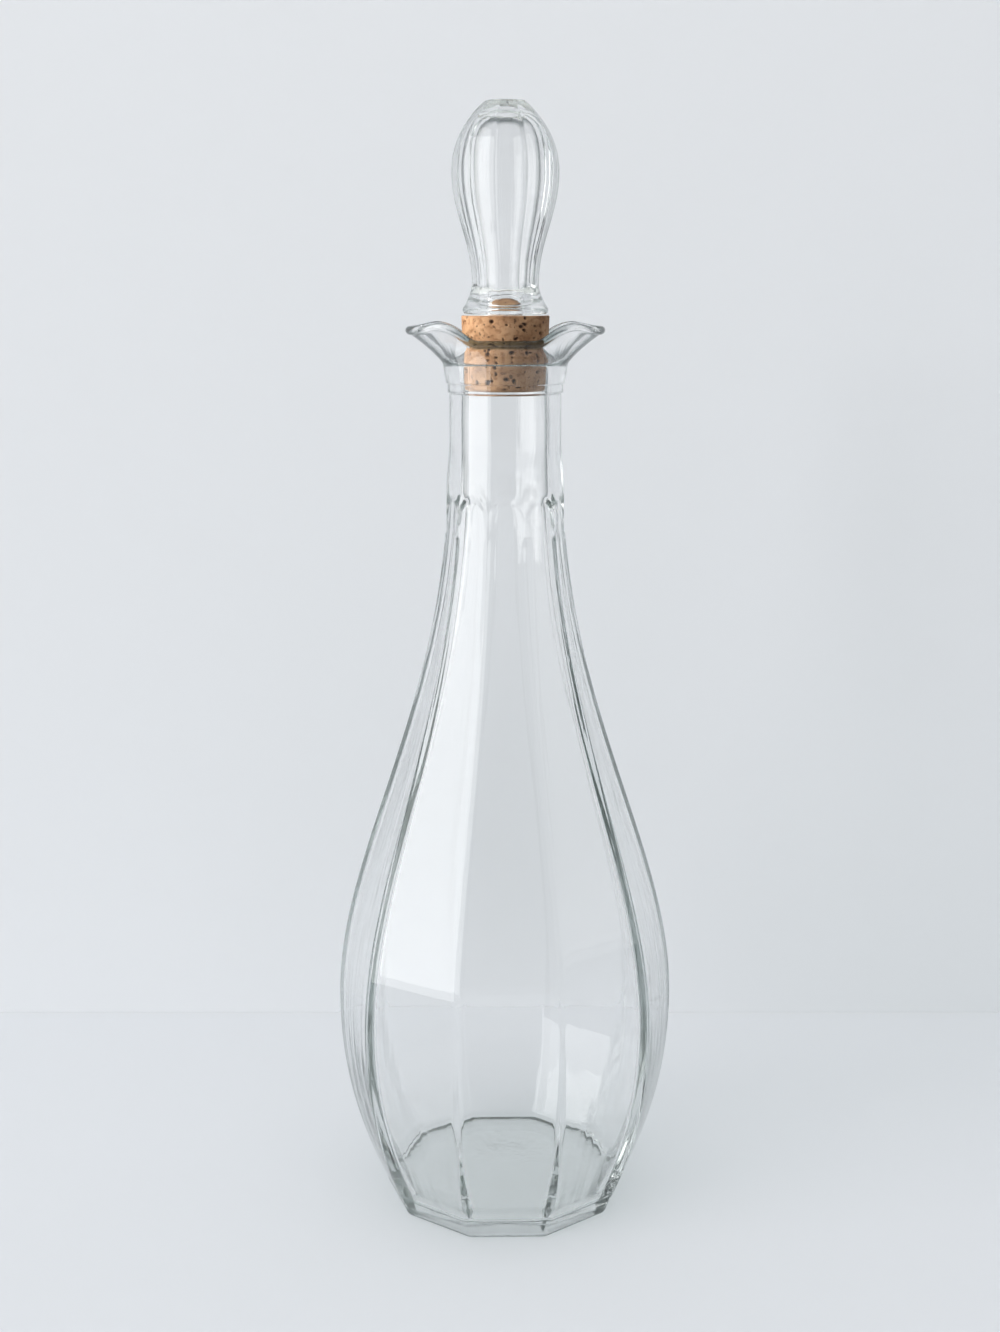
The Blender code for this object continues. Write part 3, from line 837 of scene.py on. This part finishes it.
# %% Make the waves of moulded glass
WAVE_HEIGHT = 0.001
STREAKS_ROUND = 12.0
STREAKS_ALONG = 16.0
RIPPLE_SCALE = 330.0
RIPPLE_TOP = 0.0045
waves, waves_in, waves_out = new_group(
    "moulded_waves",
    [("Coordinates", "NodeSocketVector", None), ("Size", "NodeSocketFloat", 40.0),
     ("Depth", "NodeSocketFloat", 0.1), ("Streaks", "NodeSocketFloat", 0.05),
     ("Ripples", "NodeSocketFloat", 0.1)],
    [("Normal", "NodeSocketVector")],
)
place = waves_in.outputs["Coordinates"]
axes = waves.nodes.new("ShaderNodeSeparateXYZ")
level, spread = (waves.nodes.new("ShaderNodeCombineXYZ") for _ in range(2))
outwards, streaked = (waves.nodes.new("ShaderNodeVectorMath") for _ in range(2))
outwards.operation, streaked.operation = "NORMALIZE", "MULTIPLY_ADD"
streaked.inputs[1].default_value = (STREAKS_ROUND, STREAKS_ROUND, 0)
join(waves,
     (place, axes.inputs["Vector"]),
     (axes.outputs["X"], level.inputs["X"]),
     (axes.outputs["Y"], level.inputs["Y"]),
     (level.outputs["Vector"], outwards.inputs[0]),
     (outwards.outputs["Vector"], streaked.inputs[0]),
     (math_node(waves, "MULTIPLY", axes.outputs["Z"], STREAKS_ALONG), spread.inputs["Z"]),
     (spread.outputs["Vector"], streaked.inputs[2]))
at_foot = math_node(waves, "LESS_THAN", axes.outputs["Z"], RIPPLE_TOP)
rippled = math_node(waves, "MULTIPLY", waves_in.outputs["Ripples"], at_foot)
normal = noise_bump(waves, waves_in.outputs["Size"], place, waves_in.outputs["Depth"])
normal = noise_bump(waves, 1.0, streaked.outputs["Vector"], waves_in.outputs["Streaks"], normal)
normal = noise_bump(waves, RIPPLE_SCALE, place, rippled, normal)
join(waves, (normal, waves_out.inputs["Normal"]))
print("the group", waves.name, "has", len(waves.nodes), "nodes")

# %% Make the painted shade of the glass's dark outlines
# Painted shade: the glass's colour turns dark where its surface turns away from the eye, sooner where it is marked.
EDGE_SHARE = 0.27
OUTLINE_SHADE_STOPS = [(0.0, (1, 1, 1)), (0.7, (0.22, 0.25, 0.25)), (1.0, (0.04, 0.05, 0.05))]
outline, outline_in, outline_out = new_group(
    "painted_dark_outline",
    [("Facing", "NodeSocketFloat", 0.0), ("Marked", "NodeSocketFloat", 0.0), ("Grazing", "NodeSocketFloat", 0.7)],
    [("Color", "NodeSocketColor")],
)
sooner = math_node(outline, "MULTIPLY", outline_in.outputs["Marked"], EDGE_SHARE)
turned_away = math_node(outline, "ADD", outline_in.outputs["Facing"], sooner)
darkening = outline.nodes.new("ShaderNodeMapRange")
join(outline,
     (turned_away, darkening.inputs["Value"]),
     (outline_in.outputs["Grazing"], darkening.inputs["From Min"]),
     (ramp(outline, darkening.outputs["Result"], OUTLINE_SHADE_STOPS), outline_out.inputs["Color"]))
print("the group", outline.name, "has", len(outline.nodes), "nodes")

# %% Build the glass materials
GLASS_IOR = 1.52
SHADOW_TINT = (0.93, 0.94, 0.935)
# The front rim's colour: partly the green of a long path through glass, partly painted shade of the shaded cork
# behind it.
RIM_TINT_AND_SHADE = (0.31, 0.37, 0.36)
STREAK_DEPTH = 0.05
RIPPLE_DEPTH = 0.06
ABSORPTION = 10.0
BOTTLE_TINT = (0.54, 0.60, 0.585)
FINIAL_TINT = (0.54, 0.60, 0.59)


def glass_material(name, tint, wave_size, wave_depth, grazing):
    """Clear glass with painted shade in its outlines. Grazing is where that shade starts: 0 face on, 1 edge on."""
    made = bpy.data.materials.new(name)
    made.use_nodes = True
    tree = made.node_tree
    shader = tree.nodes["Principled BSDF"]
    shader.inputs["Roughness"].default_value = 0.0
    shader.inputs["IOR"].default_value = GLASS_IOR
    shader.inputs["Transmission Weight"].default_value = 1.0
    where = tree.nodes.new("ShaderNodeTexCoord")
    wavy = group_node(tree, waves, Size=wave_size, Depth=wave_depth, Streaks=STREAK_DEPTH, Ripples=RIPPLE_DEPTH)
    facing = tree.nodes.new("ShaderNodeLayerWeight")
    facing.inputs["Blend"].default_value = 0.5
    marked, front = (tree.nodes.new("ShaderNodeAttribute") for _ in range(2))
    marked.attribute_name, front.attribute_name = "painted_outline_shade", "front_rim_tint_and_shade"
    outline_shade = group_node(tree, outline, Grazing=grazing)
    # The front rim's colour, its thick glass tint and painted shade in one ramp.
    rim_tint_and_shade = ramp(tree, front.outputs["Fac"], [(0.0, (1, 1, 1)), (1.0, RIM_TINT_AND_SHADE)])
    absorb = tree.nodes.new("ShaderNodeVolumeAbsorption")
    absorb.inputs["Color"].default_value = (*tint, 1)
    absorb.inputs["Density"].default_value = ABSORPTION
    path = tree.nodes.new("ShaderNodeLightPath")
    soft_light = math_node(tree, "MAXIMUM", path.outputs["Is Shadow Ray"], path.outputs["Is Diffuse Ray"])
    let_through = tree.nodes.new("ShaderNodeBsdfTransparent")
    let_through.inputs["Color"].default_value = (*SHADOW_TINT, 1)
    either = tree.nodes.new("ShaderNodeMixShader")
    # Painted shade goes into the base colour: the dark outlines, times the front rim's tint.
    join(tree,
         (where.outputs["Object"], wavy.inputs["Coordinates"]),
         (wavy.outputs["Normal"], shader.inputs["Normal"]),
         (facing.outputs["Facing"], outline_shade.inputs["Facing"]),
         (marked.outputs["Fac"], outline_shade.inputs["Marked"]),
         (mix(tree, "MULTIPLY", 1.0, outline_shade.outputs["Color"], rim_tint_and_shade), shader.inputs["Base Color"]),
         (soft_light, either.inputs["Fac"]),
         (shader.outputs["BSDF"], either.inputs[1]),
         (let_through.outputs["BSDF"], either.inputs[2]),
         (either.outputs["Shader"], tree.nodes["Material Output"].inputs["Surface"]),
         (absorb.outputs["Volume"], tree.nodes["Material Output"].inputs["Volume"]))
    return made


bottle_glass = glass_material("clear_glass", BOTTLE_TINT, wave_size=38.0, wave_depth=0.10, grazing=0.72)
finial_glass = glass_material("finial_glass", FINIAL_TINT, wave_size=70.0, wave_depth=0.08, grazing=0.60)
bottle.data.materials.append(bottle_glass)
finial.data.materials.append(finial_glass)
print("glass of the bottle and finial:", bottle_glass.name, finial_glass.name)

# %% [markdown]
# ## Cork
# Cork is bark. Its ground is a warm tan with soft clouds and fine flecks, and the dark dots are pores. Each of
# these is a pattern of its own size. The pits that were sunk into the mesh come in by their value and turn
# nearly black, and the fine dots darken the colour and dent the surface a little.

# %% Start the cork material
cork_look = bpy.data.materials.new("natural_cork")
cork_look.use_nodes = True
tree = cork_look.node_tree
cork_shader = tree.nodes["Principled BSDF"]
cork_shader.inputs["Roughness"].default_value = 0.8
cork_shader.inputs["Specular IOR Level"].default_value = 0.35
where = tree.nodes.new("ShaderNodeTexCoord")


def pattern(kind, scale, detail=2.0, stretch=1.0):
    """A texture on the cork's own coordinates, closed up by a stretch along the height."""
    closer = tree.nodes.new("ShaderNodeMapping")
    closer.inputs["Scale"].default_value = (1, 1, stretch)
    made = tree.nodes.new(kind)
    made.inputs["Scale"].default_value = scale
    made.inputs["Detail"].default_value = detail
    join(tree, (where.outputs["Object"], closer.inputs["Vector"]), (closer.outputs["Vector"], made.inputs["Vector"]))
    return made


def number(operation, first, second=0.0):
    """A math node of the cork's own."""
    return math_node(tree, operation, first, second)


def flat_colour(colour):
    """One colour as an output."""
    made = tree.nodes.new("ShaderNodeRGB")
    made.outputs["Color"].default_value = (*colour, 1)
    return made.outputs["Color"]


print("the cork's roughness is", round(cork_shader.inputs["Roughness"].default_value, 2))

# %% Colour the cork
CLOUD_SCALE, FLECK_SCALE, PORE_SCALE = 170.0, 700.0, 800.0
CLOUDS = [(0.30, (0.205, 0.100, 0.045)), (0.52, (0.325, 0.183, 0.095)), (0.74, (0.430, 0.260, 0.145))]
FLECKS = [(0.34, (0.58, 0.50, 0.44)), (0.50, (1, 1, 1))]
FLECK_SHARE = 0.8
PORE_RARE, PORE_REACH, PORE_SOFT = 0.55, 0.9, 0.06
PORE_SHARE, SPOT_SHARE = 0.75, 0.94
SPOT_COLOUR = (0.030, 0.013, 0.007)
clouds = pattern("ShaderNodeTexNoise", CLOUD_SCALE, 3.0)
flecks = pattern("ShaderNodeTexNoise", FLECK_SCALE, 2.0, 1.3)
ground = ramp(tree, clouds.outputs["Fac"], CLOUDS)
flecked = mix(tree, "MULTIPLY", FLECK_SHARE, ground, ramp(tree, flecks.outputs["Fac"], FLECKS))
cells = pattern("ShaderNodeTexVoronoi", PORE_SCALE)
own = tree.nodes.new("ShaderNodeSeparateColor")
join(tree, (cells.outputs["Color"], own.inputs["Color"]))
dot_reach = number("MULTIPLY", number("SUBTRACT", own.outputs["Red"], PORE_RARE), PORE_REACH)
inside_dot = number("SUBTRACT", dot_reach, cells.outputs["Distance"])
dots = ramp(tree, inside_dot, [(0.0, (0, 0, 0)), (PORE_SOFT, (1, 1, 1))])
sunk = tree.nodes.new("ShaderNodeAttribute")
sunk.attribute_name = "pit"
spots = number("MAXIMUM", number("MULTIPLY", dots, PORE_SHARE), sunk.outputs["Fac"])
spotted = mix(tree, "MIX", number("MULTIPLY", spots, SPOT_SHARE), flecked, flat_colour(SPOT_COLOUR))
print("the cork's colour has", len(tree.nodes), "nodes")

# %% [markdown]
# ## The dried paste
# The glass knob is glued on the cork, and the paste dries to a matt white film under the knob's flange. It only
# shows through the glass as a pale ring, so it is a colour on the cork's top and not a piece of its own. Its
# ring is found by the height and the distance from the axis.

# %% Lay the dried paste on the cork's top
PASTE_COLOUR = (0.76, 0.76, 0.75)
PASTE_DEPTH = 0.0002
PASTE_MARGIN = 0.0008
DENT_STRENGTH, DENT_DEPTH = 0.6, 0.0004
axes = tree.nodes.new("ShaderNodeSeparateXYZ")
join(tree, (where.outputs["Object"], axes.inputs["Vector"]))
squares = [number("POWER", axes.outputs[axis], 2.0) for axis in "XY"]
off_axis = number("SQRT", number("ADD", *squares))
on_top = number("GREATER_THAN", axes.outputs["Z"], high_z - PASTE_DEPTH)
off_rim = number("LESS_THAN", off_axis, high_radius - PASTE_MARGIN)
off_spigot = number("GREATER_THAN", off_axis, SPIGOT_RADIUS + PASTE_DEPTH)
bonded = number("MULTIPLY", number("MULTIPLY", on_top, off_rim), off_spigot)
dent = tree.nodes.new("ShaderNodeBump")
dent.inputs["Strength"].default_value = DENT_STRENGTH
dent.inputs["Distance"].default_value = DENT_DEPTH
dent.invert = True
join(tree,
     (dots, dent.inputs["Height"]),
     (mix(tree, "MIX", bonded, spotted, flat_colour(PASTE_COLOUR)), cork_shader.inputs["Base Color"]),
     (dent.outputs["Normal"], cork_shader.inputs["Normal"]))
cork.data.materials.append(cork_look)
print("the paste lies above z", round(high_z - PASTE_DEPTH, 4))

# %% [markdown]
# ## Studio
# The bottle stands on a pale counter before a pale wall, both matt and plain. A tall soft panel at the left gives
# the long white reflection on the front left facets, and two low ones at the right the softer one. The panels
# are close, so they light only what shines. A far panel and a large light overhead give the counter and the
# wall their even light, and a narrow lamp brightens the cork from the left.

# %% Camera
CAMERA_TURN = math.radians(1.2)
CAMERA_DISTANCE = 0.5132
CAMERA_HEIGHT = 0.2844
CAMERA_PITCH = math.radians(12.2)
CAMERA_LEFT = 0.0016
FOCAL_PIXELS = 1700
FRAME_HEIGHT = 1332
SENSOR = 36.0

ahead = Vector((math.sin(CAMERA_TURN), math.cos(CAMERA_TURN), 0))
aside = Vector((math.cos(CAMERA_TURN), -math.sin(CAMERA_TURN), 0))
camera_place = -CAMERA_DISTANCE * ahead - CAMERA_LEFT * aside + Vector((0, 0, CAMERA_HEIGHT))
bpy.ops.object.camera_add(location=camera_place, rotation=(math.pi / 2 - CAMERA_PITCH, 0, -CAMERA_TURN))
camera = bpy.context.object
camera.data.sensor_width = SENSOR
camera.data.lens = FOCAL_PIXELS / FRAME_HEIGHT * SENSOR
camera.data.clip_start = 0.01
bpy.context.scene.camera = camera
print("the camera stands at", [round(v, 3) for v in camera_place])

# %% Floor and wall
WALL_BEHIND = 0.1345
WALL_COLOUR = (0.765, 0.785, 0.808)
WALL_SIZE = (2.4, 2.0)
COUNTER_COLOUR = (0.635, 0.655, 0.680)
COUNTER_SIZE = (6, 2.4)
COUNTER_EDGE = 0.51
COUNTER_GAP = 0.0002


def stage_material(name, colour, roughness):
    """A matt surface. Without any shine, the panels can't burn it out."""
    made = bpy.data.materials.new(name)
    made.use_nodes = True
    shader = made.node_tree.nodes["Principled BSDF"]
    shader.inputs["Base Color"].default_value = (*colour, 1)
    shader.inputs["Roughness"].default_value = roughness
    shader.inputs["Specular IOR Level"].default_value = 0.0
    return made


deselect_all()
bpy.ops.mesh.primitive_plane_add(size=1, location=(0, 0, 0))
floor = bpy.context.object
floor.name = "floor"
floor.location = (COUNTER_SIZE[0] / 2 - COUNTER_EDGE, 0, -COUNTER_GAP)
floor.scale = (*COUNTER_SIZE, 1)
bpy.ops.object.transform_apply(location=True, rotation=True, scale=True)
floor.data.materials.append(stage_material("pale_counter", COUNTER_COLOUR, 0.5))

deselect_all()
bpy.ops.mesh.primitive_plane_add(size=1, location=WALL_BEHIND * ahead + Vector((0, 0, WALL_SIZE[1] / 2)),
                                 rotation=(math.pi / 2, 0, -CAMERA_TURN))
wall = bpy.context.object
wall.name = "backdrop"
wall.scale = (*WALL_SIZE, 1)
wall_look = stage_material("pale_wall", WALL_COLOUR, 0.6)
tree = wall_look.node_tree
facing = tree.nodes.new("ShaderNodeNewGeometry")
clear = tree.nodes.new("ShaderNodeBsdfTransparent")
either = tree.nodes.new("ShaderNodeMixShader")
join(tree,
     (facing.outputs["Backfacing"], either.inputs["Fac"]),
     (tree.nodes["Principled BSDF"].outputs["BSDF"], either.inputs[1]),
     (clear.outputs["BSDF"], either.inputs[2]),
     (either.outputs["Shader"], tree.nodes["Material Output"].inputs["Surface"]))
wall.data.materials.append(wall_look)
print("stage:", floor.name, wall.name)

# %% Soft panels
PANEL_DISTANCE = 1.33
FILL_DISTANCE = 4.2
AREA_POWER = 4
# name, azimuth in degrees, lowest and highest point, width, radiance
SHINE_PANELS = (
    ("left_panel", -67, -0.32, 1.48, 1.47, 2.12),
    ("right_panel", 82, 0.03, 0.42, 1.60, 0.38),
    ("right_panel_upper", 82, 0.03, 0.62, 1.60, 0.36),
)


def panel(name, azimuth, low, high, width, radiance, distance=PANEL_DISTANCE):
    """An upright soft panel. Its azimuth is counted from the camera, positive to the right."""
    turn = math.radians(azimuth) - CAMERA_TURN
    place = Vector((math.sin(turn), -math.cos(turn), 0)) * distance + Vector((0, 0, (low + high) / 2))
    bpy.ops.object.light_add(type="AREA", location=place, rotation=(math.pi / 2, 0, turn))
    light = bpy.context.object
    light.name = name
    light.data.shape = "RECTANGLE"
    light.data.size, light.data.size_y = width, high - low
    light.data.energy = radiance * width * (high - low) * AREA_POWER
    return light


def leave_out_of_glass(light):
    """A light that neither reflects in the glass nor shows through it."""
    light.visible_transmission = False
    light.visible_glossy = False


for numbers in SHINE_PANELS:
    panel(*numbers).visible_diffuse = False
leave_out_of_glass(panel("left_fill", -62, 0.42, 3.22, 2.8, 5.7, FILL_DISTANCE))
print("panels:", [numbers[0] for numbers in SHINE_PANELS], "and a fill at", FILL_DISTANCE, "m")

# %% Top and key light
TOP_PLACE = (0, -0.4, 1.9)
TOP_TILT = math.radians(12)
TOP_SIZE = 1.6
TOP_RADIANCE = 2.05
KEY_PLACE = Vector((-0.9, -0.06, 0.36))
KEY_AIM = Vector((0, 0, 0.275))
KEY_CONE = math.radians(9)
KEY_SOFT = 0.06
KEY_POWER = 96
bpy.ops.object.light_add(type="AREA", location=TOP_PLACE, rotation=(TOP_TILT, 0, 0))
top_light = bpy.context.object
top_light.name = "top_light"
top_light.data.size = TOP_SIZE
top_light.data.energy = TOP_RADIANCE * TOP_SIZE**2 * AREA_POWER
leave_out_of_glass(top_light)
bpy.ops.object.light_add(type="SPOT", location=KEY_PLACE)
key = bpy.context.object
key.name = "key_light"
key.rotation_euler = (KEY_AIM - key.location).to_track_quat("-Z", "Y").to_euler()
key.data.spot_size = KEY_CONE
key.data.spot_blend = 1.0
key.data.shadow_soft_size = KEY_SOFT
key.data.energy = KEY_POWER
leave_out_of_glass(key)

# %% [markdown]
# ## The room round the studio
# Glass shows the room it stands in. Straight behind, the room is as pale as the wall, and matt surfaces get a
# little light from everywhere. In the glass, the room is grey low down and nearly dark high up, which draws the
# bottle's lines. So the world answers each kind of ray with its own colour.

# %% Build the world
AMBIENT = 0.31
ROOM_STOPS = [(0.05, (0.34, 0.35, 0.36)), (0.45, (0.06, 0.06, 0.065))]
BOUNCES = 64
world = bpy.context.scene.world or bpy.data.worlds.new("studio")
bpy.context.scene.world = world
world.use_nodes = True
tree = world.node_tree
tree.nodes.clear()


def backing(colour, strength):
    """A background of one colour."""
    made = tree.nodes.new("ShaderNodeBackground")
    made.inputs["Color"].default_value = (*colour, 1)
    made.inputs["Strength"].default_value = strength
    return made


path = tree.nodes.new("ShaderNodeLightPath")
way = tree.nodes.new("ShaderNodeTexCoord")
rise = tree.nodes.new("ShaderNodeSeparateXYZ")
join(tree, (way.outputs["Generated"], rise.inputs["Vector"]))
room = backing((1, 1, 1), 1.0)
join(tree, (ramp(tree, rise.outputs["Z"], ROOM_STOPS), room.inputs["Color"]))
ambient = backing((1.0, 0.995, 0.99), AMBIENT)
seen = backing(WALL_COLOUR, 1.0)
lit, pick = (tree.nodes.new("ShaderNodeMixShader") for _ in range(2))
out = tree.nodes.new("ShaderNodeOutputWorld")
join(tree,
     (path.outputs["Is Diffuse Ray"], lit.inputs["Fac"]),
     (room.outputs["Background"], lit.inputs[1]),
     (ambient.outputs["Background"], lit.inputs[2]),
     (path.outputs["Is Camera Ray"], pick.inputs["Fac"]),
     (lit.outputs["Shader"], pick.inputs[1]),
     (seen.outputs["Background"], pick.inputs[2]),
     (pick.outputs["Shader"], out.inputs["Surface"]))

bpy.context.scene.view_settings.view_transform = "Standard"
bpy.context.scene.cycles.max_bounces = BOUNCES
bpy.context.scene.cycles.transmission_bounces = BOUNCES
bpy.context.scene.cycles.glossy_bounces = BOUNCES
print("light paths run up to", BOUNCES, "bounces")
